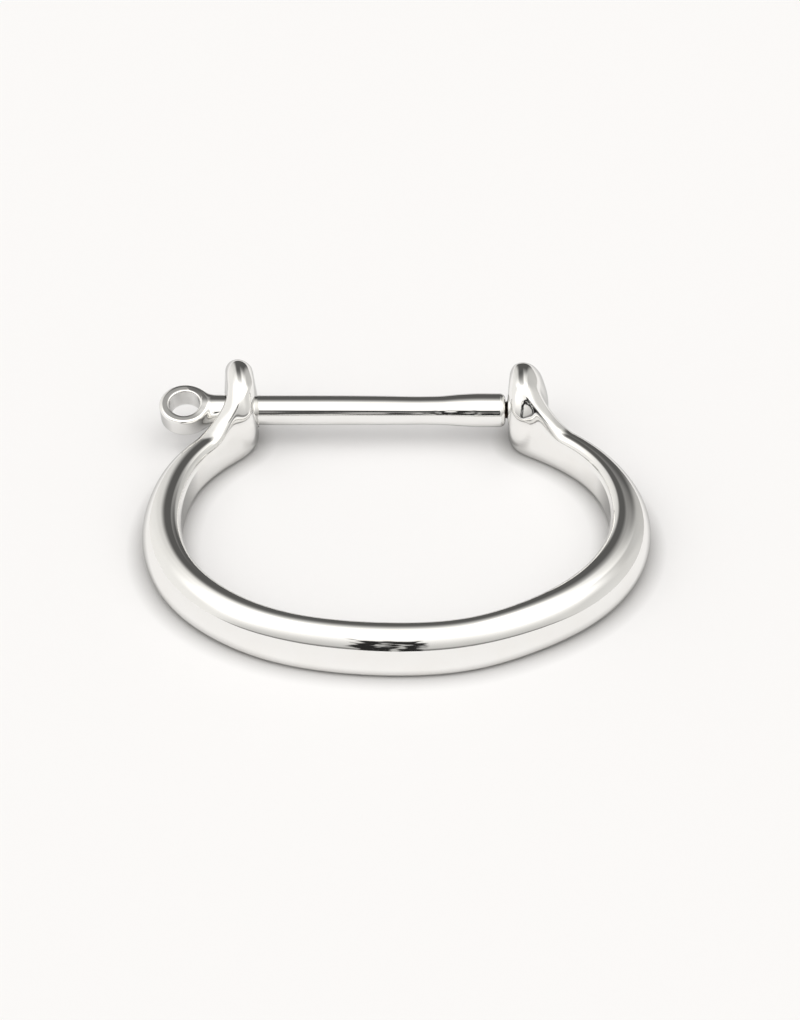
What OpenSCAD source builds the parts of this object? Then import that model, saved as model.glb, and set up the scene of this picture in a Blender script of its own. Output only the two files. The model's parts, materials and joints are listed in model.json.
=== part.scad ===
// Bangle bracelet: a horseshoe bow with two upright disc ears,
// closed at the back by a screw pin with a ring head.
// Millimetres. Origin on the ground under the middle of the object,
// +X along the screw pin towards its tip, +Y from the bow to the pin, +Z up.

/* [Bow] */
// Widest inside width of the wrist opening
inner_w = 60; // [52:0.5:70]
// Inside depth, front of the bow to the screw pin axis
inner_l = 47; // [40:0.5:56]
// Radial thickness of the bow at the front
band_t = 6; // [4:0.1:8]
// Height of the bow
band_h = 6.3; // [5:0.1:8]
// Depth of the flat rubbed along the underside, where the bangle rests
foot_cut = 0.1; // [0.05:0.05:0.3]

/* [Ears] */
// Outside radius of the disc ears
ear_r = 6.3; // [5:0.05:8]
// Thickness of the left ear at its middle
left_ear_t = 4.2; // [3:0.05:6]
// Thickness of the right ear at its middle
right_ear_t = 5.6; // [3:0.05:7]
// Radius of the plain hole through the left ear
clear_hole_r = 2.6; // [2:0.05:3]
// Radius of the blind hole in the right ear, at the thread crests of the stud
blind_hole_r = 1.5; // [1:0.05:2.5]
// Depth of the blind hole in the right ear
blind_hole_l = 3.2; // [2:0.1:4]

/* [Screw pin] */
// Height of the pin axis above the ground
pin_z = 5.2; // [4:0.1:7]
// Radius of the plain shank
shank_r = 2.15; // [1.5:0.05:2.5]
// Radius of the swelling at the tip end of the shank
swell_r = 2.45; // [2:0.05:2.55]
// Radius of the threaded stud over its crests
stud_r = 1.45; // [1:0.05:1.95]
// Pitch of the stud thread
stud_pitch = 0.5; // [0.35:0.05:0.8]
// Free gap between the shank shoulder and the right ear
shoulder_gap = 0.5; // [0.3:0.1:1.5]

/* [Ring head] */
// Outside radius of the ring head
ring_r = 3.65; // [3:0.05:5]
// Radius of the hole in the ring head
ring_hole_r = 2.2; // [1.5:0.05:3]
// Height of the ring head along its own hole
ring_h = 4.2; // [2.5:0.1:5]
// Distance from the left ear centre out to the ring centre
ring_out = 10.4; // [9:0.1:14]
// Lean of the ring hole above the ground, towards the bow
ring_lean = 64; // [0:1:90]
// Lean of the ring's two faces, square to this direction
face_lean = 77; // [0:1:90]

/* [Hidden] */
silver = [0.86, 0.86, 0.84];
steel = [0.62, 0.58, 0.54];

// Guide points of the inner face, drawn for a 60 x 47 mm opening, left ear to right ear:
// [across, towards the pin, thickness share, height share, fullness of the outside].
guide = [
  [-20.1, 23.2, 0.75, 1.00, 1.0],
  [-19.8, 20.7, 0.73, 0.99, 1.0],
  [-20.9, 18.2, 0.71, 0.98, 1.0],
  [-24.5, 15.0, 0.77, 0.98, 1.0],
  [-28.1, 9.8, 0.86, 0.98, 1.0],
  [-29.7, 3.4, 0.92, 0.98, 1.0],
  [-30.0, -3.8, 0.98, 1.00, 0.9],
  [-27.8, -11.8, 0.97, 1.00, 0.6],
  [-22.5, -18.0, 0.93, 1.00, 0.55],
  [-15.5, -22.3, 0.95, 1.02, 0.1],
  [-7.5, -24.0, 1.00, 1.02, 0.0],
  [0.7, -24.5, 1.02, 1.02, 0.0],
  [8.9, -24.0, 0.97, 1.02, 0.05],
  [16.5, -20.5, 0.95, 1.00, 0.4],
  [23.9, -15.1, 1.00, 0.98, 0.9],
  [28.9, -7.4, 1.02, 0.98, 1.0],
  [30.1, 0.6, 0.98, 0.98, 1.0],
  [28.7, 7.6, 0.79, 0.98, 1.0],
  [25.3, 13.0, 0.70, 0.98, 1.0],
  [20.9, 16.6, 0.68, 0.98, 1.0],
  [17.4, 18.6, 0.68, 0.98, 1.0],
  [16.1, 20.6, 0.70, 0.99, 1.0],
  [16.3, 23.0, 0.72, 1.00, 1.0]
];
// Sections of the bow as control points in shares of thickness and height, from the crease
// over the top and down the outside to the foot: outside sloping, and outside round.
sloping = [
  [0.000, 0.800], [0.050, 0.930], [0.185, 1.012], [0.355, 1.000],
  [0.510, 0.925], [0.635, 0.785], [0.715, 0.600], [0.765, 0.420],
  [0.812, 0.240], [0.815, 0.090], [0.720, 0.000], [0.580, 0.000],
  [0.420, 0.000], [0.250, 0.000], [0.070, 0.020], [0.000, 0.190]
];
round_one = [
  [0.000, 0.800], [0.045, 0.930], [0.170, 1.010], [0.360, 1.020],
  [0.560, 0.990], [0.750, 0.900], [0.890, 0.740], [0.965, 0.550],
  [0.985, 0.350], [0.940, 0.150], [0.810, 0.010], [0.630, -0.005],
  [0.420, 0.000], [0.250, 0.000], [0.070, 0.020], [0.000, 0.190]
];
stretch_x = inner_w / 60;
stretch_y = inner_l / 47;
rows = [for (g = guide) [g[0] * stretch_x, g[1] * stretch_y, g[2] * band_t, g[3] * band_h, g[4]]];
last = len(rows) - 1;

// Ear shape: [radius, rounding of the rim, rim plane from the inner face, dome, lean]
left_ear = [ear_r, 1.7, 2.3, left_ear_t - 4, 0.05];
right_ear = [ear_r - 0.25, 1.9, 1.95, right_ear_t - 3.85, -0.03];

// Join of band and ear, low down and on top, and the climb of the band to each ear
join_low = 1.2;
join_high = 3.2;
crease_rise = 1.6;
crown_rise = 2.9;
ramp_end = 12;
ramp_l = 8.5;
end_reach = 1.6;

// Smoothness of the faceted bow
spans = 4;
tail = 8;
face_sides = 4;
round_sides = 20;
sides = face_sides + round_sides;
heart = [0.42, 0.45];
march = 0.2;
halvings = 9;

function unit(v) = v / norm(v);
function ease(x) = let (c = min(max(x, 0), 1)) c * c * (3 - 2 * c);
function mix(a, b, t) = a + (b - a) * t;
function smooth_min(a, b, k) = let (h = max(1 - abs(a - b) / k, 0)) min(a, b) - h * h * h * k / 6;

// Uniform cubic spline through padded rows, smooth in curvature
padded = concat([2 * rows[0] - rows[1]], rows, [2 * rows[last] - rows[last - 1]]);
function blend(v, i, t) =
  (pow(1 - t, 3) * v[i] + (3 * t * t * t - 6 * t * t + 4) * v[i + 1]
   + (-3 * t * t * t + 3 * t * t + 3 * t + 1) * v[i + 2] + t * t * t * v[i + 3]) / 6;
path = [for (k = [0 : last * spans]) blend(padded, min(floor(k / spans), last - 1),
        k / spans - min(floor(k / spans), last - 1))];
count = len(path);
function step_to(k) = k == 0 ? 0 : norm([path[k][0] - path[k - 1][0], path[k][1] - path[k - 1][1]]);
function run_to(k) = k == 0 ? 0 : run_to(k - 1) + step_to(k);
runs = [for (k = [0 : count - 1]) run_to(k)];
total = runs[count - 1];
function ahead(k) = let (a = path[max(k - 1, 0)], b = path[min(k + 1, count - 1)])
  unit([b[0] - a[0], b[1] - a[1]]);

// Direction square to a slice: the path's own, averaged so that slices never cross
average = [[1, -5], [2, -2.5], [3, 0], [2, 2.5], [1, 5]];
ways_x = [for (k = [0 : count - 1]) [runs[k], ahead(k)[0]]];
ways_y = [for (k = [0 : count - 1]) [runs[k], ahead(k)[1]]];
function averaged(table, run) = [for (a = average) a[0]] * [for (a = average) lookup(run + a[1], table)];
function slice_way(run) = unit([averaged(ways_x, run), averaged(ways_y, run)]);

// Station: [x, y, direction x, direction y, thickness, height, fullness, distance from the ear
// centre along the path, 1 for the left ear or -1 for the right one]
function tail_row(p, dir, hand, k) =
  let (ear = hand > 0 ? left_ear : right_ear, d = -ear[0] * sin(90 * k / tail),
       way = slice_way(hand > 0 ? d : total - d))
  [p[0] + hand * dir[0] * d, p[1] + hand * dir[1] * d, way[0], way[1], p[2], p[3], p[4], d, hand];
function body_row(k) =
  let (p = path[k], dir = slice_way(runs[k]), left = runs[k] < total / 2)
  [p[0], p[1], dir[0], dir[1], p[2], p[3], p[4], left ? runs[k] : total - runs[k], left ? 1 : -1];
stations = concat(
  [for (k = [tail - 1 : -1 : 1]) tail_row(path[0], ahead(0), 1, k)],
  [for (k = [0 : count - 1]) body_row(k)],
  [for (k = [1 : tail - 1]) tail_row(path[count - 1], ahead(count - 1), -1, k)]);
station_count = len(stations);

// Outline of the two sections from the heart, the round side first and then the flat inner face
function outside(rows, k) =
  let (v = concat([2 * rows[0] - rows[1]], rows, [2 * rows[15] - rows[14]]),
       t = 15 * k / (round_sides - 1), i = min(floor(t), 14))
  blend(v, i, t - i);
function outline(rows) =
  let (side = [for (k = [0 : round_sides - 1]) outside(rows, k)])
  concat(side, [for (k = [1 : face_sides]) mix(side[round_sides - 1], side[0], k / (face_sides + 1))]);
sloping_line = outline(sloping);
round_line = outline(round_one);

// Everything about a station that its rays share
function climb(d) = ease((ramp_end - d) / ramp_l);
function shape_at(s) =
  let (d = s[7], c = climb(d), h = s[5] + crease_rise * c, grow = crown_rise * c / h)
  [for (j = [0 : sides - 1])
   let (p = mix(sloping_line[j], round_line[j], s[6]))
   [p[0], p[1] + grow * ease((p[1] - 0.35) / 0.67) * ease((p[0] + 0.04) / 0.2)] - heart];
// Angle round the heart, rising from the flat face's top by way of the foot to the crease
function turn_of(p, top) = let (a = atan2(p[1], p[0])) a > top + 0.001 ? a - 360 : a;
function edge_table(shape) =
  let (top = atan2(shape[0][1], shape[0][0]))
  concat([[top - 360, norm(shape[0])]], [for (j = [sides - 1 : -1 : 0]) [turn_of(shape[j], top), norm(shape[j])]]);

// The ear centres in plan: [centre, direction away from the end, outward direction, ear]
function centre_frame(hand) =
  let (p = hand > 0 ? path[0] : path[count - 1], dir = hand > 0 ? ahead(0) : ahead(count - 1))
  [[p[0], p[1]], hand * dir, [dir[1], -dir[0]], hand > 0 ? left_ear : right_ear];
left_frame = centre_frame(1);
right_frame = centre_frame(-1);
function ear_field(x, y, z, frame) =
  let (ear = frame[3], dx = x - frame[0][0], dy = y - frame[0][1], up = z - ear[0],
       rho = norm([dx * frame[1][0] + dy * frame[1][1], up]),
       flat = dx * frame[2][0] + dy * frame[2][1] - ear[2] - ear[4] * up,
       rise = ear[3] * pow(min(max(1 - pow(rho / ear[0], 2), 0), 1), 1.5),
       out = flat > 0 ? max(flat - rise, 0) : flat)
  norm([max(rho - (ear[0] - ear[1]), 0), out]) - ear[1];

// Band and ear together at share r of a ray: less than zero inside
function place_on(s, ray, r) = [ray[0] + r * ray[2], ray[1] + r * ray[3]];
function field(s, ray, table, top, tall, cut, r) =
  let (p = place_on(s, ray, r), o = p[0], z = p[1],
       u = o / s[4] - heart[0], w = (z + cut) / tall - heart[1], len = max(norm([u, w]), 0.000001),
       edge = lookup(turn_of([u, w], top), table),
       side = (len - edge) * norm([u * s[4], w * tall]) / len,
       band = -smooth_min(-side, s[7] + end_reach, 1.5),
       x = s[0] + s[3] * o, y = s[1] - s[2] * o,
       disc = ear_field(x, y, z, s[8] > 0 ? left_frame : right_frame),
       join = mix(join_low, join_high, ease((z - 3.5) / 3.5)))
  smooth_min(band, disc, join);
function halve(s, ray, table, top, tall, cut, a, b, n) =
  n == 0 ? (a + b) / 2 :
  let (m = (a + b) / 2)
  field(s, ray, table, top, tall, cut, m) < 0
    ? halve(s, ray, table, top, tall, cut, m, b, n - 1)
    : halve(s, ray, table, top, tall, cut, a, m, n - 1);
function reach_of(s, ray, table, top, tall, cut, r) =
  r > 3 ? r :
  field(s, ray, table, top, tall, cut, r) > 0
    ? halve(s, ray, table, top, tall, cut, max(r - march, 0), r, halvings)
    : reach_of(s, ray, table, top, tall, cut, r + march);

// One ring of points: rays from the heart of the band, or from the middle of the disc at the ears
function section_points(s) =
  let (d = s[7], ear = s[8] > 0 ? left_ear : right_ear,
       shape = shape_at(s), table = edge_table(shape), top = atan2(shape[0][1], shape[0][0]),
       cut = foot_cut * ease(d / 3), tall = s[5] + crease_rise * climb(d) + cut,
       near = ease(1 - d / 6), arc = sqrt(max(ear[0] * ear[0] - pow(min(d, 0), 2), 0.05)),
       o = mix(heart[0] * s[4], ear[2], near), z = mix(heart[1] * tall - cut, ear[0], near),
       spread_o = mix(s[4], 5, near), spread_z = mix(tall, 2 * arc, near))
  [for (q = shape)
   let (ray = [o, z, spread_o * q[0], spread_z * q[1]],
        r = d > ramp_end + 2 ? 1 : reach_of(s, ray, table, top, tall, cut, march),
        p = place_on(s, ray, r))
   [s[0] + s[3] * p[0], s[1] - s[2] * p[0], max(p[1], 0)]];
function tip_of(frame) =
  let (p = frame[0] - frame[1] * frame[3][0] + frame[2] * frame[3][2]) [p[0], p[1], frame[3][0]];

shell_points = concat([for (s = stations) each section_points(s)], [tip_of(left_frame), tip_of(right_frame)]);
left_tip = station_count * sides;
right_tip = left_tip + 1;
last_ring = (station_count - 1) * sides;
shell_faces = concat(
  [for (i = [0 : station_count - 2]) for (j = [0 : sides - 1])
   [i * sides + j, (i + 1) * sides + (j + 1) % sides, i * sides + (j + 1) % sides]],
  [for (i = [0 : station_count - 2]) for (j = [0 : sides - 1])
   [i * sides + j, (i + 1) * sides + j, (i + 1) * sides + (j + 1) % sides]],
  [for (j = [0 : sides - 1]) [left_tip, j, (j + 1) % sides]],
  [for (j = [0 : sides - 1]) [right_tip, last_ring + (j + 1) % sides, last_ring + j]]);

// Places along the pin axis
pin_y = 22.7 * stretch_y;
left_face_x = rows[0][0];
right_face_x = rows[last][0] - 0.1;
shoulder_x = right_face_x - shoulder_gap;
ring_x = left_face_x - ring_out;
neck_x = left_face_x - left_ear_t - 0.2;
stud_tip_x = right_face_x + blind_hole_l - 0.4;
bore_bottom_x = right_face_x + blind_hole_l;
sleeve_l = 1.4;
neck_flare_r = 2.9;

// The cast bow with its two ears
module bangle_band() {
  color(silver)
  difference() {
    polyhedron(points = shell_points, faces = shell_faces, convexity = 6);
    translate([left_face_x - 9, pin_y, pin_z]) rotate([0, 90, 0])
      cylinder(h = 12, r = clear_hole_r, $fn = 64);
    translate([right_face_x - 3, pin_y, pin_z]) rotate([0, 90, 0])
      cylinder(h = 3 + blind_hole_l, r = blind_hole_r, $fn = 64);
  }
}

// Turns a shape so its own axis points along the hole of the ring head
module along_ring() {
  translate([ring_x, pin_y, pin_z]) rotate([90 - ring_lean, 0, 0]) children();
}

// The ring head: a short drum round its hole, with both faces leaning less than the hole does
module ring_drum() {
  along_ring() intersection() {
    cylinder(h = 2 * ring_h, r = ring_r, center = true, $fn = 96);
    rotate([ring_lean - face_lean, 0, 0]) cylinder(h = ring_h, r = 9, center = true, $fn = 96);
  }
}

// The cast screw pin: ring head, flared neck and shank with a swollen tip end
module screw_pin() {
  shank_profile = [
    [0, neck_x - 1], [shank_r - 0.15, neck_x - 1], [shank_r - 0.12, neck_x], [shank_r, left_face_x],
    [shank_r, -9], [shank_r - 0.07, 3.5], [shank_r + 0.02, 7], [swell_r - 0.05, 10],
    [swell_r, 12], [swell_r, shoulder_x - 1], [swell_r - 0.15, shoulder_x - 0.45],
    [swell_r - 0.6, shoulder_x], [0, shoulder_x]
  ];
  flare_profile = [
    [0, ring_x + 1], [neck_flare_r, ring_x + 1], [neck_flare_r, ring_x + 2.2],
    [2.55, ring_x + 3.2], [2.3, ring_x + 4.2], [shank_r, neck_x], [0, neck_x]
  ];
  color(silver) {
    difference() {
      rotate([0, 90, 0]) translate([-pin_z, pin_y, 0])
        rotate_extrude($fn = 96) polygon(shank_profile);
      translate([shoulder_x - sleeve_l, pin_y, pin_z]) rotate([0, 90, 0])
        cylinder(h = sleeve_l + 1, r = stud_r - 0.2, $fn = 48);
    }
    difference() {
      union() {
        ring_drum();
        intersection() {
          rotate([0, 90, 0]) translate([-pin_z, pin_y, 0])
            rotate_extrude($fn = 96) polygon(flare_profile);
          along_ring() rotate([ring_lean - face_lean, 0, 0])
            cylinder(h = ring_h, r = 9, center = true, $fn = 96);
        }
      }
      along_ring() cylinder(h = 3 * ring_h, r = ring_hole_r, center = true, $fn = 96);
    }
  }
}

// The hard steel stud set into the end of the shank, its thread drawn as even ridges
module threaded_stud() {
  root_r = stud_r - 0.25;
  stud_base_x = shoulder_x - sleeve_l + 0.1;
  thread_start = shoulder_x + 0.1;
  ridges = floor((stud_tip_x - 0.35 - thread_start) / stud_pitch);
  ridge_profile = concat(
    [[0, stud_base_x], [root_r, stud_base_x], [root_r, thread_start]],
    [for (i = [0 : ridges - 1]) for (p = [[root_r, 0.05], [stud_r, 0.2], [stud_r, 0.3], [root_r, 0.45]])
     [p[0], thread_start + (i + p[1] / 0.5) * stud_pitch]],
    [[root_r, stud_tip_x - 0.3], [root_r - 0.3, stud_tip_x], [0, stud_tip_x]]);
  color(steel)
  rotate([0, 90, 0]) translate([-pin_z, pin_y, 0])
    rotate_extrude($fn = 64) polygon(ridge_profile);
}

bangle_band();
screw_pin();
threaded_stud();
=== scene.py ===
# Looks of the screw-pin bangle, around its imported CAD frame.
# Shapes are worked out in millimetres, in the same frame as the CAD model, and made in metres.
import json
import math

import bpy
import numpy as np
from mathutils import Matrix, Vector
from mathutils.bvhtree import BVHTree
from mathutils.interpolate import poly_3d_calc

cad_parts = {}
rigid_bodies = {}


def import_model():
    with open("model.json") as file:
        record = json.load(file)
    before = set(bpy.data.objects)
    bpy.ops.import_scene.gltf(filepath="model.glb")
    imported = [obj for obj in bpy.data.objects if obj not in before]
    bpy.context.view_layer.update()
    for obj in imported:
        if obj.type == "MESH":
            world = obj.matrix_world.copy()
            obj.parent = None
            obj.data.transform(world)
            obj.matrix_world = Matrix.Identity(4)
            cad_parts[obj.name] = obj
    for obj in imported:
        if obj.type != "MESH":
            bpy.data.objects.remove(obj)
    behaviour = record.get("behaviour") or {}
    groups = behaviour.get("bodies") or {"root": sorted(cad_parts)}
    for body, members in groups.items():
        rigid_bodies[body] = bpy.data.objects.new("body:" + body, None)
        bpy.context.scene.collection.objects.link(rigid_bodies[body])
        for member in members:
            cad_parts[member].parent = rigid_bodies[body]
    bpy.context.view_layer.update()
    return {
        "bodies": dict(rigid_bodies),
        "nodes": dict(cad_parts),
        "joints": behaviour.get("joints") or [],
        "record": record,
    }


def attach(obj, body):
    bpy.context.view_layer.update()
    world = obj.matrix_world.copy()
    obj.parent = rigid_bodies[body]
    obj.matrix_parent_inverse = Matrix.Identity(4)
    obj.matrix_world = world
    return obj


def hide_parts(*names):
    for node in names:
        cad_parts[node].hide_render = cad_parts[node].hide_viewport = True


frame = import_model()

MM = 0.001

# ---------------------------------------------------------------- sizes, as in the CAD model (mm)
BAND_T, BAND_H = 6.0, 6.3
FOOT_CUT = 0.1
CLEAR_HOLE_R, BLIND_HOLE_R, BLIND_HOLE_L = 2.6, 1.5, 3.2
PIN_Y, PIN_Z = 22.7, 5.2
STUD_R, STUD_PITCH = 1.45, 0.5
LEFT_FACE_X, RIGHT_FACE_X = -20.1, 16.2
SHOULDER_X = RIGHT_FACE_X - 0.5
SLEEVE_L, SLEEVE_R = 1.4, 1.25
STUD_TIP_X = RIGHT_FACE_X + BLIND_HOLE_L - 0.4
RING_R, RING_HOLE_R, RING_H, RING_EDGE = 3.65, 2.2, 4.2, 0.55
RING_X = LEFT_FACE_X - 10.4
NECK_X = LEFT_FACE_X - 5.2
RING_LEAN = math.radians(64)  # of the hole and the outer wall
FACE_LEAN = math.radians(77)  # of the top and bottom faces

# Guide points of the inner face: across, towards the pin, thickness share, height share, and
# how full the outside is there, from the sloping section (0) to the round one (1)
GUIDE = (
    (-20.1, 23.2, 0.75, 1.00, 1.0),
    (-19.8, 20.7, 0.73, 0.99, 1.0),
    (-20.9, 18.2, 0.71, 0.98, 1.0),
    (-24.5, 15.0, 0.77, 0.98, 1.0),
    (-28.1, 9.8, 0.86, 0.98, 1.0),
    (-29.7, 3.4, 0.92, 0.98, 1.0),
    (-30.0, -3.8, 0.98, 1.00, 0.9),
    (-27.8, -11.8, 0.97, 1.00, 0.6),
    (-22.5, -18.0, 0.93, 1.00, 0.55),
    (-15.5, -22.3, 0.95, 1.02, 0.1),
    (-7.5, -24.0, 1.00, 1.02, 0.0),
    (0.7, -24.5, 1.02, 1.02, 0.0),
    (8.9, -24.0, 0.97, 1.02, 0.05),
    (16.5, -20.5, 0.95, 1.00, 0.4),
    (23.9, -15.1, 1.00, 0.98, 0.9),
    (28.9, -7.4, 1.02, 0.98, 1.0),
    (30.1, 0.6, 0.98, 0.98, 1.0),
    (28.7, 7.6, 0.79, 0.98, 1.0),
    (25.3, 13.0, 0.70, 0.98, 1.0),
    (20.9, 16.6, 0.68, 0.98, 1.0),
    (17.4, 18.6, 0.68, 0.98, 1.0),
    (16.1, 20.6, 0.70, 0.99, 1.0),
    (16.3, 23.0, 0.72, 1.00, 1.0),
)
# Sections of the bow, as shares of its thickness and height: from the crease at the top of the
# flat inner face, over the rounded top and down the outside, to the foot of the face
SLOPING = (
    (0.000, 0.800),
    (0.050, 0.930),
    (0.185, 1.012),
    (0.355, 1.000),
    (0.510, 0.925),
    (0.635, 0.785),
    (0.715, 0.600),
    (0.765, 0.420),
    (0.812, 0.240),
    (0.815, 0.090),
    (0.720, 0.000),
    (0.580, 0.000),
    (0.420, 0.000),
    (0.250, 0.000),
    (0.070, 0.020),
    (0.000, 0.190),
)
ROUND = (
    (0.000, 0.800),
    (0.045, 0.930),
    (0.170, 1.010),
    (0.360, 1.020),
    (0.560, 0.990),
    (0.750, 0.900),
    (0.890, 0.740),
    (0.965, 0.550),
    (0.985, 0.350),
    (0.940, 0.150),
    (0.810, 0.010),
    (0.630, -0.005),
    (0.420, 0.000),
    (0.250, 0.000),
    (0.070, 0.020),
    (0.000, 0.190),
)
HEART = np.array([0.42, 0.45])  # point inside the section that rays are cast from, as shares
# Ear discs: radius, rounding of the rim, rim plane from the inner face, rise of the outer dome
LEFT_EAR = dict(r=6.3, round=1.7, rim=2.3, dome=0.2, lean=0.05)
RIGHT_EAR = dict(r=6.05, round=1.9, rim=1.95, dome=1.75, lean=-0.03)
JOIN_LOW, JOIN_HIGH = 1.2, 3.2  # width of the smooth join of band and ear, low down and on top
# The band climbs to each ear: rise of its crease and of its crown, and where the climb starts
CREASE_RISE, CROWN_RISE, RAMP_END, RAMP_L = 1.6, 2.9, 12.0, 8.5
END_REACH = 1.6  # how far the band runs past the middle of an ear
AVERAGE = ((1, -5.0), (2, -2.5), (3, 0.0), (2, 2.5), (1, 5.0))  # weights and places along the path
# Near an ear: where the rays turn from the band's to the disc's, and their spread across the disc
NEAR_REACH, NEAR_SPREAD = 6.0, 5.0
FOOT_FADE, END_SMOOTH = 3.0, 1.5  # where the rubbed flat fades in, and rounding of the band's end
JOIN_FROM, JOIN_OVER = 3.5, 3.5  # height where the join starts to widen, and over how much
CROWN_FROM, CROWN_OVER = 0.35, 0.67  # share of the height where the crown's climb starts and builds
INNER_EDGE, INNER_OVER = 0.04, 0.2  # the same across, from just inside the flat face
MARCH_FROM, MARCH_TO, MARCHES, HALVINGS = 0.04, 2.6, 65, 30  # search along a ray


def ease(x):
    c = np.clip(x, 0, 1)
    return c * c * (3 - 2 * c)


def smooth_min(a, b, k):
    h = np.clip(1 - np.abs(a - b) / k, 0, 1)
    return np.minimum(a, b) - h * h * h * k / 6


def smooth_max(a, b, k):
    return -smooth_min(-a, -b, k)


def spline(rows, steps):
    """Uniform cubic spline through rows padded at both ends, smooth in curvature."""
    rows = np.array(rows, float)
    padded = np.vstack([2 * rows[0] - rows[1], rows, 2 * rows[-1] - rows[-2]])
    out = []
    for i in range(len(padded) - 3):
        for k in range(steps):
            t = k / steps
            weights = (1 - t) ** 3, 3 * t**3 - 6 * t * t + 4, -3 * t**3 + 3 * t * t + 3 * t + 1, t**3
            out.append(np.array(weights) / 6 @ padded[i : i + 4])
    out.append((padded[-3] + 4 * padded[-2] + padded[-1]) / 6)
    return np.array(out)


def mesh_object(name, points, faces, smooth=True):
    mesh = bpy.data.meshes.new(name)
    mesh.from_pydata((np.array(points) * MM).tolist(), [], [tuple(int(i) for i in f) for f in faces])
    mesh.validate()
    mesh.update()
    mesh.polygons.foreach_set("use_smooth", [smooth] * len(mesh.polygons))
    obj = bpy.data.objects.new(name, mesh)
    bpy.context.scene.collection.objects.link(obj)
    return obj


# ---------------------------------------------------------------- the bow
def section_outline(control, round_steps=8, face_steps=10):
    """The whole outline of a section in shares, with extra points close to the crease."""
    outside = spline(control, round_steps)
    foot, crease = outside[-1], outside[0]
    share = np.concatenate([np.linspace(0, 0.97, face_steps)[1:], [0.985]])
    face = foot + (crease - foot) * share[:, None]
    near = outside[0] + (outside[1] - outside[0]) * np.array([0.0, 0.35])[:, None]
    return np.concatenate([near, outside[1:], face])


def ear_frames(rows, ahead):
    """The ears in plan: centre, direction away from the end, outward direction and sizes."""
    frames = []
    for place, way, ear in ((rows[0, :2], ahead[0], LEFT_EAR), (rows[-1, :2], -ahead[-1], RIGHT_EAR)):
        turn = 1 if ear is LEFT_EAR else -1
        outward = turn * np.array([way[1], -way[0]])
        frames.append((place, way, outward, ear))
    return frames


def ear_field(points, ear_frame):
    """Distance in mm from a disc with a round rim and a domed outside, less than zero inside it."""
    place, way, outward, ear = ear_frame
    flat = points[..., :2] - place
    up = points[..., 2] - ear["r"]
    rho = np.hypot(flat @ way, up)
    out = flat @ outward - ear["rim"] - ear["lean"] * up
    rise = ear["dome"] * np.clip(1 - (rho / ear["r"]) ** 2, 0, 1) ** 1.5
    out = np.where(out > 0, np.maximum(out - rise, 0), out)
    beyond = np.maximum(rho - (ear["r"] - ear["round"]), 0)
    return np.hypot(beyond, out) - ear["round"]


def bow_stations(steps, tail):
    """Slices from tip to tip: place, direction, thickness, height, fullness, distance and side."""
    rows = spline([(x, y, t * BAND_T, h * BAND_H, full) for x, y, t, h, full in GUIDE], steps)
    ahead = np.gradient(rows[:, :2], axis=0)
    ahead /= np.linalg.norm(ahead, axis=1)[:, None]
    runs = np.concatenate([[0], np.cumsum(np.linalg.norm(np.diff(rows[:, :2], axis=0), axis=1))])
    frames = ear_frames(rows, ahead)

    def slice_way(run):
        """Direction square to a slice: the path's own, averaged so that slices never cross."""
        taps = [(share, run + move) for share, move in AVERAGE]
        total = sum(s * np.array([np.interp(r, runs, ahead[:, i]) for i in (0, 1)]) for s, r in taps)
        return total / np.linalg.norm(total)

    out = []
    for side, index in ((0, 0), (1, -1)):
        place, way, outward, ear = frames[side]
        ring = []
        for k in range(tail - 1, 0, -1):
            d = -ear["r"] * math.sin(math.pi / 2 * k / tail)
            turned_way = slice_way(runs[-1] - d if side else d)
            ring.append((place + way * d, turned_way, *rows[index, 2:5], d, side))
        out.append(ring)
    body = []
    for k, row in enumerate(rows):
        left = runs[k] < runs[-1] / 2
        d = runs[k] if left else runs[-1] - runs[k]
        body.append((row[:2], slice_way(runs[k]), *row[2:5], d, 0 if left else 1))
    return out[0] + body + out[1][::-1], frames


def capped_tube(count, sides):
    """Faces of count rings of points, closed by fans to two more points, first end first."""
    faces = []
    for i in range(count - 1):
        for j in range(sides):
            a, b = i * sides + j, i * sides + (j + 1) % sides
            faces.append((a, b, b + sides, a + sides))
    first, last = count * sides, count * sides + 1
    last_ring = (count - 1) * sides
    for j in range(sides):
        nxt = (j + 1) % sides
        faces.append((first, nxt, j))
        faces.append((last, last_ring + j, last_ring + nxt))
    return faces


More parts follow.
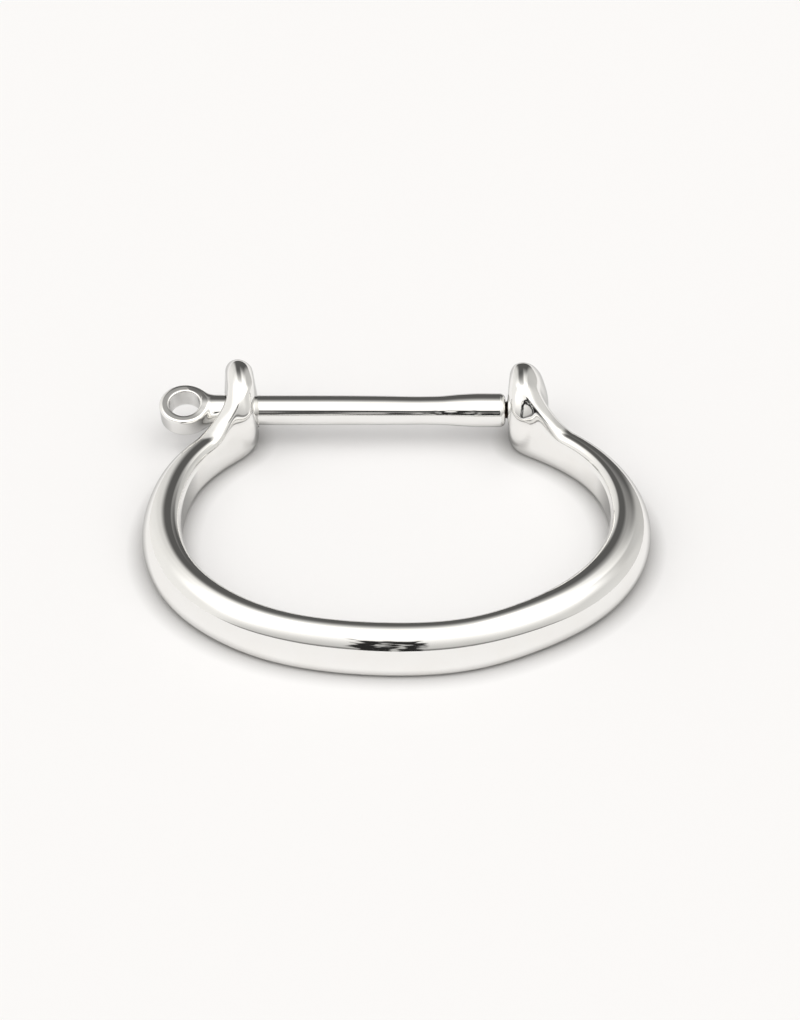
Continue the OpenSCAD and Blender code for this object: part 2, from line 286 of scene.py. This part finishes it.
def bow_shell(steps=20, tail=26):
    """Points and faces of the bow: rays cast from inside each slice to the joined band and ears."""
    stations, frames = bow_stations(steps, tail)
    place = np.array([s[0] for s in stations])
    ahead = np.array([s[1] for s in stations])
    thick, height, full, dist = (np.array([s[i] for s in stations])[:, None] for i in (2, 3, 4, 5))
    side = np.array([s[6] for s in stations])
    outlines = [section_outline(control) - HEART for control in (SLOPING, ROUND)]
    outline = outlines[0] + full[..., None] * (outlines[1] - outlines[0])
    ramp = ease((RAMP_END - dist) / RAMP_L)
    height = height + CREASE_RISE * ramp
    u, w = outline[..., 0] + HEART[0], outline[..., 1] + HEART[1]
    crown = ease((w - CROWN_FROM) / CROWN_OVER) * ease((u + INNER_EDGE) / INNER_OVER)
    outline[..., 1] += CROWN_RISE * ramp / height * crown
    polar = np.arctan2(outline[..., 1], outline[..., 0])
    order = np.argsort(polar, axis=1)
    polar = np.take_along_axis(polar, order, axis=1)
    reach = np.take_along_axis(np.hypot(outline[..., 0], outline[..., 1]), order, axis=1)
    ear_r = np.where(side == 0, LEFT_EAR["r"], RIGHT_EAR["r"])[:, None]
    ear_rim = np.where(side == 0, LEFT_EAR["rim"], RIGHT_EAR["rim"])[:, None]
    cut = FOOT_CUT * ease(dist / FOOT_FADE)
    tall = height + cut
    # centre and spread of the rays: those of the band, or of the disc at the ears
    near = ease(1 - dist / NEAR_REACH)
    arc = np.sqrt(np.maximum(ear_r**2 - np.minimum(dist, 0) ** 2, 0.05))
    centre_o = near * ear_rim + (1 - near) * HEART[0] * thick
    centre_z = near * ear_r + (1 - near) * (HEART[1] * tall - cut)
    spread_o = near * NEAR_SPREAD + (1 - near) * thick
    spread_z = near * 2 * arc + (1 - near) * tall

    def field(r):
        o = centre_o + r * spread_o * outline[..., 0]
        z = centre_z + r * spread_z * outline[..., 1]
        u, w = o / thick - HEART[0], (z + cut) / tall - HEART[1]
        length = np.hypot(u, w)
        angle = np.arctan2(w, u)
        rows = zip(angle, polar, reach)
        edge = np.array([np.interp(a, p, q, period=2 * math.pi) for a, p, q in rows])
        band = (length - edge) * np.hypot(u * thick, w * tall) / np.maximum(length, 1e-6)
        band = smooth_max(band, -dist - END_REACH, END_SMOOTH)
        x = place[:, :1] + ahead[:, 1:] * o
        y = place[:, 1:] - ahead[:, :1] * o
        points = np.stack([x, y, z], axis=-1)
        left_disc, right_disc = (ear_field(points, frame) for frame in frames)
        discs = np.where((side == 0)[:, None], left_disc, right_disc)
        join = JOIN_LOW + (JOIN_HIGH - JOIN_LOW) * ease((z - JOIN_FROM) / JOIN_OVER)
        return smooth_min(band, discs, join), points

    low = np.full(outline.shape[:2], 0.02)
    high = low.copy()
    found = np.zeros(low.shape, bool)
    for step in np.linspace(MARCH_FROM, MARCH_TO, MARCHES):
        value, _ = field(np.full(low.shape, step))
        hit = ~found & (value > 0)
        high[hit] = step
        low[~found & ~hit] = step
        found |= hit
    for _ in range(HALVINGS):
        mid = (low + high) / 2
        value, _ = field(mid)
        low, high = np.where(value < 0, mid, low), np.where(value < 0, high, mid)
    _, points = field((low + high) / 2)
    points[..., 2] = np.maximum(points[..., 2], 0)
    tips = []
    for centre, way, outward, ear in frames:
        tip = centre - way * ear["r"] + outward * ear["rim"]
        tips.append([tip[0], tip[1], ear["r"]])
    return np.vstack([points.reshape(-1, 3), tips]), capped_tube(*low.shape)


def turned(name, profile, sides=96):
    """A closed solid turned round the pin axis from (place along X, radius) pairs."""
    points, faces = [], []
    for x, r in profile:
        for k in range(sides):
            a = 2 * math.pi * k / sides
            points.append((x, PIN_Y + r * math.cos(a), PIN_Z + r * math.sin(a)))
    for i in range(len(profile) - 1):
        for k in range(sides):
            a, b = i * sides + k, i * sides + (k + 1) % sides
            faces.append((a, b, b + sides, a + sides))
    faces.append(tuple(range(sides))[::-1])
    faces.append(tuple(range(len(points) - sides, len(points))))
    return mesh_object(name, points, faces)


def cut(obj, cutter):
    """Takes the cutter's solid away from the object. The new faces get material index 1."""
    cutter.data.polygons.foreach_set("material_index", [1] * len(cutter.data.polygons))
    modifier = obj.modifiers.new("cut", "BOOLEAN")
    modifier.operation = "DIFFERENCE"
    modifier.solver = "MANIFOLD"
    modifier.object = cutter
    graph = bpy.context.evaluated_depsgraph_get()
    mesh = bpy.data.meshes.new_from_object(obj.evaluated_get(graph))
    obj.modifiers.clear()
    obj.data = mesh
    bpy.data.objects.remove(cutter)


MOUTH_REACH = 4.5  # how far from a bore's axis its cut can have changed the normals
SQUARE_TO_AXIS = 0.2  # a bore's face with less than this along X is part of its wall


def keep_normals(mesh, whole, bores):
    """Normals of the cut mesh: those of the whole surface outside, and those of the bores inside."""
    corners = [v.co for v in whole.vertices]
    tree = BVHTree.FromPolygons(corners, [tuple(p.vertices) for p in whole.polygons])
    normals = [Vector(c.vector) for c in mesh.corner_normals]
    for polygon in mesh.polygons:
        for corner in polygon.loop_indices:
            co = mesh.vertices[mesh.loops[corner].vertex_index].co
            off = Vector((0, PIN_Y * MM - co.y, PIN_Z * MM - co.z))
            if polygon.material_index == 1:
                straight = abs(polygon.normal.x) < SQUARE_TO_AXIS
                normals[corner] = off.normalized() if straight else polygon.normal
            elif off.length < MOUTH_REACH * MM and any(a * MM < co.x < b * MM for a, b in bores):
                place, _, index, _ = tree.find_nearest(co)
                verts = [whole.vertices[i] for i in whole.polygons[index].vertices]
                weights = poly_3d_calc([v.co for v in verts], place)
                total = sum((v.normal * w for v, w in zip(verts, weights)), Vector())
                normals[corner] = total.normalized()
    mesh.polygons.foreach_set("material_index", [0] * len(mesh.polygons))
    mesh.normals_split_custom_set(normals)


def bow_casting():
    """The bow with a plain hole through its left ear and a countersunk blind one in its right."""
    obj = mesh_object("bow_casting", *bow_shell())
    whole = obj.data
    face = LEFT_FACE_X - 0.1
    clear = ((face - 9, 0), (face, 0), (face + 1.5, 0.75))
    cut(obj, turned("clear_hole", [(x, CLEAR_HOLE_R + wider) for x, wider in clear]))
    face, bottom = RIGHT_FACE_X, RIGHT_FACE_X + BLIND_HOLE_L
    blind = ((face - 1.2, BLIND_HOLE_R + 0.9), (face + 0.14, BLIND_HOLE_R), (bottom - 0.5, BLIND_HOLE_R))
    cut(obj, turned("blind_hole", (*blind, (bottom, 0.4))))
    mesh = obj.data
    mesh.polygons.foreach_set("use_smooth", [True] * len(mesh.polygons))
    left_bore, right_bore = (-27, -17), (14, 24)
    keep_normals(mesh, whole, (left_bore, right_bore))
    return obj


# ---------------------------------------------------------------- the screw pin
def implicit_mesh(field, low, high, cell):
    """Even quads on the surface field = 0, pulled onto it exactly, with the field's own normals."""
    axes = [np.arange(a, b + cell, cell) for a, b in zip(low, high)]
    grid = np.stack(np.meshgrid(*axes, indexing="ij"), axis=-1)
    value = field(grid)
    inside = value < 0
    size = np.array(value.shape) - 1
    total = np.zeros((*size, 3))
    hits = np.zeros(tuple(size))
    edges = []
    for axis in range(3):
        a = [slice(None)] * 3
        b = [slice(None)] * 3
        a[axis], b[axis] = slice(0, -1), slice(1, None)
        a, b = tuple(a), tuple(b)
        crossing = inside[a] != inside[b]
        share = np.where(crossing, value[a] / np.where(crossing, value[a] - value[b], 1), 0)
        point = grid[a] + (grid[b] - grid[a]) * share[..., None]
        others = [k for k in range(3) if k != axis]
        for shift in ((0, 0), (0, 1), (1, 0), (1, 1)):
            part = [slice(None)] * 3
            for other, move in zip(others, shift):
                part[other] = slice(move, size[other] + move)
            part = tuple(part)
            total += np.where(crossing[part][..., None], point[part], 0)
            hits += crossing[part]
        edges.append((axis, others, crossing, inside[a]))
    used = hits > 0
    number = np.full(used.shape, -1)
    number[used] = np.arange(used.sum())
    points = total[used] / hits[used][:, None]
    quads = []
    for axis, others, crossing, starts_inside in edges:
        where = np.argwhere(crossing)
        where = where[np.all([(where[:, o] > 0) & (where[:, o] < size[o]) for o in others], axis=0)]
        corners = []
        for shift in ((0, 0), (0, 1), (1, 1), (1, 0)):
            place = where.copy()
            for other, move in zip(others, shift):
                place[:, other] -= move
            corners.append(number[tuple(place.T)])
        quad = np.stack(corners, axis=1)
        flip = starts_inside[tuple(where.T)] == (axis != 1)
        quad[flip] = quad[flip][:, ::-1]
        quads.append(quad)
    quads = np.concatenate(quads)
    for _ in range(3):
        points = settle(field, points)
        points = relax(points, quads)
    for _ in range(4):
        points = settle(field, points)
    return points, quads, gradient(field, points)


def gradient(field, points, step=0.01):
    """Slope of the field along each axis."""
    out = np.zeros(points.shape)
    for axis in range(3):
        move = np.zeros(3)
        move[axis] = step
        out[:, axis] = (field(points + move) - field(points - move)) / (2 * step)
    return out


def settle(field, points):
    """One step of the points towards field = 0."""
    slope = gradient(field, points)
    square = np.maximum((slope**2).sum(1), 1e-4)
    return points - slope * (field(points) / square)[:, None]


def relax(points, quads):
    """Moves each point half of the way to the middle of its neighbours."""
    total = np.zeros(points.shape)
    count = np.zeros(len(points))
    for a, b in ((0, 1), (1, 2), (2, 3), (3, 0)):
        for p, q in ((a, b), (b, a)):
            np.add.at(total, quads[:, p], points[quads[:, q]])
            np.add.at(count, quads[:, p], 1)
    return points * 0.5 + total / count[:, None] * 0.5


SHANK = (  # place along X, radius, rise of the centre line
    (NECK_X - 3.5, 2.14, 0.0),
    (NECK_X, 2.14, 0.0),
    (LEFT_FACE_X, 2.14, 0.0),
    (-14.0, 2.14, 0.0),
    (-8.0, 2.12, 0.01),
    (-2.0, 2.10, -0.03),
    (4.0, 2.05, -0.06),
    (6.5, 2.10, -0.04),
    (9.0, 2.30, 0.0),
    (11.5, 2.43, 0.0),
    (14.0, 2.43, 0.0),
    (17.0, 2.43, 0.0),
)
SHANK_JOIN, FLARE_SMOOTH = 0.5, 1.6  # join of neck and shank, and rounding of the neck's flats
END_ROUND = 0.8  # rounding of the shoulder at the tip end
NECK = ((RING_X + 1.2, 2.75), (RING_X + 2.6, 2.60), (RING_X + 4.0, 2.28), (NECK_X + 0.6, 2.12))
NECK_JOIN, HOLE_ROUND, SLEEVE_ROUND = 1.1, 0.45, 0.2


def along(x, places, values):
    """Smooth values between places along X."""
    i = np.clip(np.searchsorted(places, x) - 1, 0, len(places) - 2)
    places, values = np.array(places), np.array(values)
    slopes = np.gradient(values, places)
    span = places[i + 1] - places[i]
    t = np.clip((x - places[i]) / span, 0, 1)
    a = (2 * t**3 - 3 * t**2 + 1) * values[i] + (t**3 - 2 * t**2 + t) * span * slopes[i]
    return a + (3 * t**2 - 2 * t**3) * values[i + 1] + (t**3 - t**2) * span * slopes[i + 1]


def pin_field(points):
    """Distance in mm from the cast pin, less than zero inside it."""
    x = points[..., 0]
    y, z = points[..., 1] - PIN_Y, points[..., 2] - PIN_Z
    places, radii, rise = zip(*SHANK)
    off = np.hypot(y, z - along(x, places, rise))
    side = off - along(x, places, radii)
    end = x - SHOULDER_X
    corner = np.hypot(np.maximum(side + END_ROUND, 0), np.maximum(end + END_ROUND, 0)) - END_ROUND
    shank = np.maximum(corner, NECK_X - 2.5 - x)
    neck_places, neck_radii = zip(*NECK)
    flare = np.hypot(y, z) - along(x, neck_places, neck_radii)
    flare = np.maximum(flare, RING_X + 0.8 - x)
    flare = np.maximum(flare, x - NECK_X - 1.5)
    ring_x = x - RING_X
    hole = np.hypot(ring_x, z * math.cos(RING_LEAN) + y * math.sin(RING_LEAN))
    lift = z * math.sin(FACE_LEAN) - y * math.cos(FACE_LEAN)
    flat = z * math.cos(FACE_LEAN) + y * math.sin(FACE_LEAN)
    rho = np.hypot(ring_x, flat + lift * math.tan(FACE_LEAN - RING_LEAN))
    slab = np.abs(lift) - (RING_H / 2 - 0.05)
    flare = smooth_max(flare, slab, FLARE_SMOOTH)
    a = rho - (RING_R - RING_EDGE)
    b = np.abs(lift) - (RING_H / 2 - RING_EDGE)
    ring = np.hypot(np.maximum(a, 0), np.maximum(b, 0)) + np.minimum(np.maximum(a, b), 0) - RING_EDGE
    solid = smooth_min(smooth_min(ring, flare, NECK_JOIN), shank, SHANK_JOIN)
    solid = smooth_max(solid, RING_HOLE_R - hole, HOLE_ROUND)
    sleeve = np.maximum(off - SLEEVE_R, SHOULDER_X - SLEEVE_L - x)
    return smooth_max(solid, -sleeve, SLEEVE_ROUND)


def screw_pin(cell=0.14):
    low = (RING_X - RING_R - 0.4, PIN_Y - 4.6, PIN_Z - 4.0)
    high = (SHOULDER_X + 0.5, PIN_Y + 4.6, PIN_Z + 4.0)
    points, quads, normals = implicit_mesh(pin_field, low, high, cell)
    obj = mesh_object("cast_pin", points, quads)
    obj.data.normals_split_custom_set_from_vertices(normals / np.linalg.norm(normals, axis=1)[:, None])
    return obj


# ---------------------------------------------------------------- the threaded stud
THREAD_DEPTH = 0.27
STUD_BASE_X = SHOULDER_X - SLEEVE_L + 0.1


def thread_rise(turn):
    """Height of the thread over its root, from 0 to 1, for a place in turns of the thread."""
    part = np.abs((turn % 1.0) - 0.5) * 2
    return ease((0.88 - part) / 0.68)


def threaded_stud(sides=72, rows_per_turn=14):
    """One true helical thread with a run-out at the shank and a bevel at the tip."""
    length = STUD_TIP_X - STUD_BASE_X
    rows = int(length / STUD_PITCH * rows_per_turn)
    x = np.linspace(STUD_BASE_X, STUD_TIP_X, rows + 1)[:, None]
    a = 2 * math.pi * np.arange(sides)[None, :] / sides
    root = STUD_R - THREAD_DEPTH
    rise = thread_rise(x / STUD_PITCH - a / (2 * math.pi))
    start = ease((x - SHOULDER_X - 0.02) / 0.35)
    r = root - 0.02 + THREAD_DEPTH * rise * start
    bevel = STUD_TIP_X - x
    r = np.minimum(r, root - 0.25 + bevel * 0.9)
    points = np.stack([x + 0 * a, PIN_Y + r * np.cos(a), PIN_Z + r * np.sin(a)], axis=-1)
    ends = np.array([[STUD_BASE_X, PIN_Y, PIN_Z], [STUD_TIP_X, PIN_Y, PIN_Z]])
    points = np.vstack([points.reshape(-1, 3), ends])
    obj = mesh_object("stud_thread", points, capped_tube(rows + 1, sides))
    obj.data.set_sharp_from_angle(angle=math.radians(50))
    return obj


# ---------------------------------------------------------------- materials
def node(tree, kind, operation=None, *inputs):
    """A node whose inputs are numbers or other nodes' outputs; gives its first output."""
    made = tree.nodes.new(kind)
    if operation:
        made.operation = operation
    for socket, value in zip(made.inputs, inputs):
        if isinstance(value, (int, float)):
            socket.default_value = value
        else:
            tree.links.new(value, socket)
    return made.outputs[0]


def math_node(tree, operation, *inputs):
    return node(tree, "ShaderNodeMath", operation, *inputs)


def noise(tree, place, scale, detail, roughness=0.5):
    """Noise from 0 to 1, with about scale waves in each unit of place."""
    made = tree.nodes.new("ShaderNodeTexNoise")
    tree.links.new(place, made.inputs["Vector"])
    made.inputs["Scale"].default_value = scale
    made.inputs["Detail"].default_value = detail
    made.inputs["Roughness"].default_value = roughness
    return made.outputs["Fac"]


def stretched(tree, place, factors, turn):
    made = tree.nodes.new("ShaderNodeMapping")
    made.inputs["Scale"].default_value = factors
    made.inputs["Rotation"].default_value = turn
    tree.links.new(place, made.inputs["Vector"])
    return made.outputs[0]


def map_range(tree, value, from_min, from_max, to_min, to_max):
    made = tree.nodes.new("ShaderNodeMapRange")
    tree.links.new(value, made.inputs["Value"])
    made.inputs["From Min"].default_value, made.inputs["From Max"].default_value = from_min, from_max
    made.inputs["To Min"].default_value, made.inputs["To Max"].default_value = to_min, to_max
    return made.outputs[0]


def mix_colour(tree, share, first, second):
    made = tree.nodes.new("ShaderNodeMix")
    made.data_type = "RGBA"
    tree.links.new(share, made.inputs["Factor"])
    for name, colour in (("A", first), ("B", second)):
        socket = next(i for i in made.inputs if i.name == name and i.type == "RGBA")
        if isinstance(colour, tuple):
            socket.default_value = (*colour, 1)
        else:
            tree.links.new(colour, socket)
    return next(o for o in made.outputs if o.type == "RGBA")


def bump(tree, height, distance, strength):
    made = tree.nodes.new("ShaderNodeBump")
    made.inputs["Strength"].default_value = strength
    made.inputs["Distance"].default_value = distance * MM
    tree.links.new(height, made.inputs["Height"])
    return made.outputs[0]


SILVER, TARNISHED = (0.912, 0.908, 0.893), (0.895, 0.886, 0.864)
# painted shade: a dark colour blended in at grazing angles, standing for the dark reflections and contact
# shade along the outlines
PAINTED_RIM_SHADE = (0.07, 0.068, 0.062)
RIM_SHADE_FROM, RIM_SHADE_TO = 0.64, 0.92  # how grazing the view is where the painted dark rim starts and is full
GLOSS_LOW, GLOSS_HIGH = 0.018, 0.07  # roughness between the hairlines and in them
ROOT_SHADE, CREST = (0.075, 0.048, 0.034), (0.42, 0.34, 0.29)  # of the stud's thread: painted shade in the roots, and the crests' own colour


def polished_silver(name):
    """Cast silver, polished by hand: slightly wavy, with fine hairlines, and a painted dark rim at grazing
    angles that stands for dark reflections and contact shade.
    """
    mat = bpy.data.materials.new(name)
    mat.use_nodes = True
    tree = mat.node_tree
    bsdf = tree.nodes["Principled BSDF"]
    bsdf.inputs["Metallic"].default_value = 1.0
    coord = tree.nodes.new("ShaderNodeTexCoord").outputs["Object"]
    facing = tree.nodes.new("ShaderNodeLayerWeight")
    facing.inputs["Blend"].default_value = 0.5
    # painted shade: the rim mask darkens the base colour where the view grazes the surface
    rim = map_range(tree, facing.outputs["Facing"], RIM_SHADE_FROM, RIM_SHADE_TO, 0.0, 1.0)
    tarnish = map_range(tree, noise(tree, coord, 260, 4), 0.35, 0.75, 0.0, 1.0)
    tint = mix_colour(tree, tarnish, SILVER, TARNISHED)
    tree.links.new(mix_colour(tree, rim, tint, PAINTED_RIM_SHADE), bsdf.inputs["Base Color"])
    hairs = noise(tree, stretched(tree, coord, (1, 14, 14), (0.3, 0.2, 0.5)), 900, 3, 0.6)
    rough = map_range(tree, hairs, 0.4, 0.75, GLOSS_LOW, GLOSS_HIGH)
    tree.links.new(rough, bsdf.inputs["Roughness"])
    waves = math_node(tree, "MULTIPLY_ADD", hairs, 0.004, noise(tree, coord, 150, 1))
    tree.links.new(bump(tree, waves, 0.05, 0.5), bsdf.inputs["Normal"])
    return mat


def stud_steel():
    """Hard steel, with painted shade that darkens the roots of its thread to a dark brown; the crests keep
    the steel's own colour.
    """
    mat = bpy.data.materials.new("stud_steel")
    mat.use_nodes = True
    tree = mat.node_tree
    bsdf = tree.nodes["Principled BSDF"]
    bsdf.inputs["Metallic"].default_value = 1.0
    coord = tree.nodes.new("ShaderNodeTexCoord").outputs["Object"]
    split = tree.nodes.new("ShaderNodeSeparateXYZ")
    tree.links.new(coord, split.inputs[0])
    off_y = math_node(tree, "SUBTRACT", split.outputs["Y"], PIN_Y * MM)
    off_z = math_node(tree, "SUBTRACT", split.outputs["Z"], PIN_Z * MM)
    squares = [math_node(tree, "MULTIPLY", off, off) for off in (off_y, off_z)]
    radius = math_node(tree, "SQRT", math_node(tree, "ADD", *squares))
    speckle = noise(tree, coord, 1400, 5)
    depth = math_node(tree, "MULTIPLY_ADD", speckle, 0.12 * MM, radius)
    # painted shade: darker towards the thread's roots, by distance from the pin axis, with a speckled edge
    crest = map_range(tree, depth, (STUD_R - 0.2) * MM, (STUD_R + 0.06) * MM, 0.0, 1.0)
    tree.links.new(mix_colour(tree, crest, ROOT_SHADE, CREST), bsdf.inputs["Base Color"])
    tree.links.new(map_range(tree, speckle, 0.3, 0.7, 0.22, 0.5), bsdf.inputs["Roughness"])
    tree.links.new(bump(tree, speckle, 0.02, 0.4), bsdf.inputs["Normal"])
    return mat


silver = polished_silver("silver")
for piece, mat, body, cad_node, slot in (
    (bow_casting(), silver, "bow", "bangle_band", "silver_bow"),
    (screw_pin(), silver, "pin", "screw_pin", "silver_pin"),
    (threaded_stud(), stud_steel(), "stud", "threaded_stud", "stud_steel"),
):
    piece.data.materials.clear()
    piece.data.materials.append(mat)
    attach(piece, body)
    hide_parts(cad_node)


# ---------------------------------------------------------------- floor, light and camera
def step_up(tree, value, start, end):
    """Smooth rise from 0 at start to 1 at end, or a fall if end is below start."""
    made = tree.nodes.new("ShaderNodeMapRange")
    made.interpolation_type = "SMOOTHSTEP"
    tree.links.new(value, made.inputs["Value"])
    low, high = min(start, end), max(start, end)
    made.inputs["From Min"].default_value, made.inputs["From Max"].default_value = low, high
    made.inputs["To Min"].default_value = 0 if start < end else 1
    made.inputs["To Max"].default_value = 1 if start < end else 0
    return made.outputs[0]


def between(tree, value, low, high, soft):
    """1 from low to high and 0 outside, with edges as wide as soft."""
    rise = step_up(tree, value, low - soft / 2, low + soft / 2)
    return math_node(tree, "MULTIPLY", rise, step_up(tree, value, high + soft / 2, high - soft / 2))


def ramp(tree, value, low, high, stops):
    """Brightness along a value, from (value, brightness) stops."""
    part = math_node(tree, "DIVIDE", math_node(tree, "SUBTRACT", value, low), high - low)
    made = tree.nodes.new("ShaderNodeValToRGB")
    made.color_ramp.interpolation = "EASE"
    elements = made.color_ramp.elements
    while len(elements) < len(stops):
        elements.new(0.5)
    for element, (place, level) in zip(elements, stops):
        element.position = (place - low) / (high - low)
        element.color = (level, level, level, 1)
    tree.links.new(part, made.inputs[0])
    return made.outputs[0]


def blend(tree, base, other, share):
    """base towards other by share."""
    change = math_node(tree, "MULTIPLY", math_node(tree, "SUBTRACT", other, base), share)
    return math_node(tree, "ADD", base, change)


# Studio brightness. Side is the angle left (-) or right (+) of the middle plane, and climb the
# angle over the top in that plane: 0 at the back horizon, 90 overhead, 180 at the front horizon
WALLS = (
    (-90, 0.93),
    (-50, 0.92),
    (-36, 0.86),
    (-25, 0.74),
    (-14, 0.62),
    (-6, 0.50),
    (24, 0.48),
    (44, 0.58),
    (62, 0.72),
    (90, 0.78),
)
OVERHEAD, FRONT_EDGE = 1.75, 0.56  # brightness of the softbox, and of its front edge low down
SKIRTING = 0.24
BACK_GAP = 0.105
CAMERA_DARK, CAMERA_LIT = 0.025, 0.5
WARMTH = (1, 0.985, 0.955)  # tint of all light

# Zones in degrees: side from, to and softness, and the climb where each starts and is full
OVERHEAD_ZONE = (-58, 52, 26), (48, 108)
SOFTBOX_FALL = 104, 184
# Where the softbox reaches lower at the back: side from, to and softness, and by how much
LOW_CORNERS = ((12, 34, 8), 17), ((-34, -12, 8), 6)
SKIRTING_ZONE = (-60, 60, 20), (174.5, 178)
GAP_ZONE = (-8, 26, 12), (54, 24)
HIGH_GAP_ZONE = (-16, 9, 12), (86, 42)
CAMERA_ZONE = (-10, 5.5, 3), (143, 147)
LIT_ZONE = (-3, -0.5, 1.5), (152, 158)
RAGGED_SCALE, RAGGED = 9, 16  # noise that makes the camera's outline uneven, and by how much


def zone(tree, side, climb, sides, climbs):
    return math_node(tree, "MULTIPLY", between(tree, side, *sides), step_up(tree, climb, *climbs))


def studio():
    world = bpy.data.worlds.new("studio")
    bpy.context.scene.world = world
    world.use_nodes = True
    tree = world.node_tree
    tree.nodes.clear()
    out = tree.nodes.new("ShaderNodeOutputWorld")
    back = tree.nodes.new("ShaderNodeBackground")
    tree.links.new(back.outputs[0], out.inputs[0])
    coord = tree.nodes.new("ShaderNodeTexCoord")
    split = tree.nodes.new("ShaderNodeSeparateXYZ")
    tree.links.new(coord.outputs["Generated"], split.inputs[0])
    to_degrees = 180 / math.pi
    side = math_node(tree, "MULTIPLY", math_node(tree, "ARCSINE", split.outputs["X"]), to_degrees)
    climb = math_node(tree, "ARCTAN2", split.outputs["Z"], split.outputs["Y"])
    climb = math_node(tree, "MULTIPLY", climb, to_degrees)
    walls = ramp(tree, side, -90, 90, WALLS)
    edge = climb
    for sides, lower in LOW_CORNERS:
        edge = math_node(tree, "ADD", edge, math_node(tree, "MULTIPLY", between(tree, side, *sides), lower))
    front = blend(tree, OVERHEAD, FRONT_EDGE, step_up(tree, climb, *SOFTBOX_FALL))
    light = blend(tree, walls, front, zone(tree, side, edge, *OVERHEAD_ZONE))
    # thin dark line where the floor meets the front wall
    light = blend(tree, light, SKIRTING, zone(tree, side, climb, *SKIRTING_ZONE))
    # unlit gap at the back, and its narrower upper part
    gaps = [zone(tree, side, climb, *GAP_ZONE), zone(tree, side, climb, *HIGH_GAP_ZONE)]
    light = blend(tree, light, BACK_GAP, math_node(tree, "MAXIMUM", *gaps))
    # the camera and its stand, low at the front, with a lit patch between them
    swirl = noise(tree, coord.outputs["Generated"], RAGGED_SCALE, 2)
    swirl = math_node(tree, "SUBTRACT", swirl, 0.5)
    ragged = [math_node(tree, "MULTIPLY_ADD", swirl, RAGGED, value) for value in (side, climb)]
    light = blend(tree, light, CAMERA_DARK, zone(tree, *ragged, *CAMERA_ZONE))
    light = blend(tree, light, CAMERA_LIT, zone(tree, *ragged, *LIT_ZONE))
    colour = tree.nodes.new("ShaderNodeCombineColor")
    for channel, tint in enumerate(WARMTH):
        tree.links.new(math_node(tree, "MULTIPLY", light, tint), colour.inputs[channel])
    tree.links.new(colour.outputs[0], back.inputs[0])


PAPER, SHADE = (0.873, 0.871, 0.883), (0.52, 0.515, 0.515)
SHADE_REACH = 2.8  # how far the shade round a contact goes, mm
SHUT = 0.35  # openness of the floor where the shade is full
FLOOR_HALF, FLOOR_DROP = 3000, 0.02  # mm


def floor():
    signs = ((-1, -1), (1, -1), (1, 1), (-1, 1))
    corners = [(x * FLOOR_HALF, y * FLOOR_HALF, -FLOOR_DROP) for x, y in signs]
    obj = mesh_object("floor", corners, [(0, 1, 2, 3)], smooth=False)
    mat = bpy.data.materials.new("floor_white")
    mat.use_nodes = True
    tree = mat.node_tree
    bsdf = tree.nodes["Principled BSDF"]
    occlusion = tree.nodes.new("ShaderNodeAmbientOcclusion")
    occlusion.samples = 8
    occlusion.inputs["Distance"].default_value = SHADE_REACH * MM
    openness = map_range(tree, occlusion.outputs["AO"], SHUT, 1.0, 0.0, 1.0)
    tree.links.new(mix_colour(tree, openness, SHADE, PAPER), bsdf.inputs["Base Color"])
    bsdf.inputs["Roughness"].default_value = 1.0
    bsdf.inputs["Specular IOR Level"].default_value = 0.0
    obj.data.materials.append(mat)


CAMERA_LIFT = math.radians(39)  # of the camera above the ground
CAMERA_TARGET, CAMERA_DISTANCE = (0.5, 6.2, 0), 430  # mm
VIEW_L = 144.068  # length seen at the target along the picture's longer side, mm
SENSOR = 36


def camera():
    data = bpy.data.cameras.new("camera")
    cam = bpy.data.objects.new("camera", data)
    bpy.context.scene.collection.objects.link(cam)
    back = Vector((0, -math.cos(CAMERA_LIFT), math.sin(CAMERA_LIFT)))
    cam.location = (Vector(CAMERA_TARGET) + back * CAMERA_DISTANCE) * MM
    cam.rotation_mode = "QUATERNION"
    cam.rotation_quaternion = (-back).to_track_quat("-Z", "Y")
    data.sensor_width = SENSOR
    data.lens = CAMERA_DISTANCE / VIEW_L * SENSOR
    data.clip_start, data.clip_end = 0.01, 10
    bpy.context.scene.camera = cam


floor()
studio()
camera()
bpy.context.scene.view_settings.view_transform = "Standard"
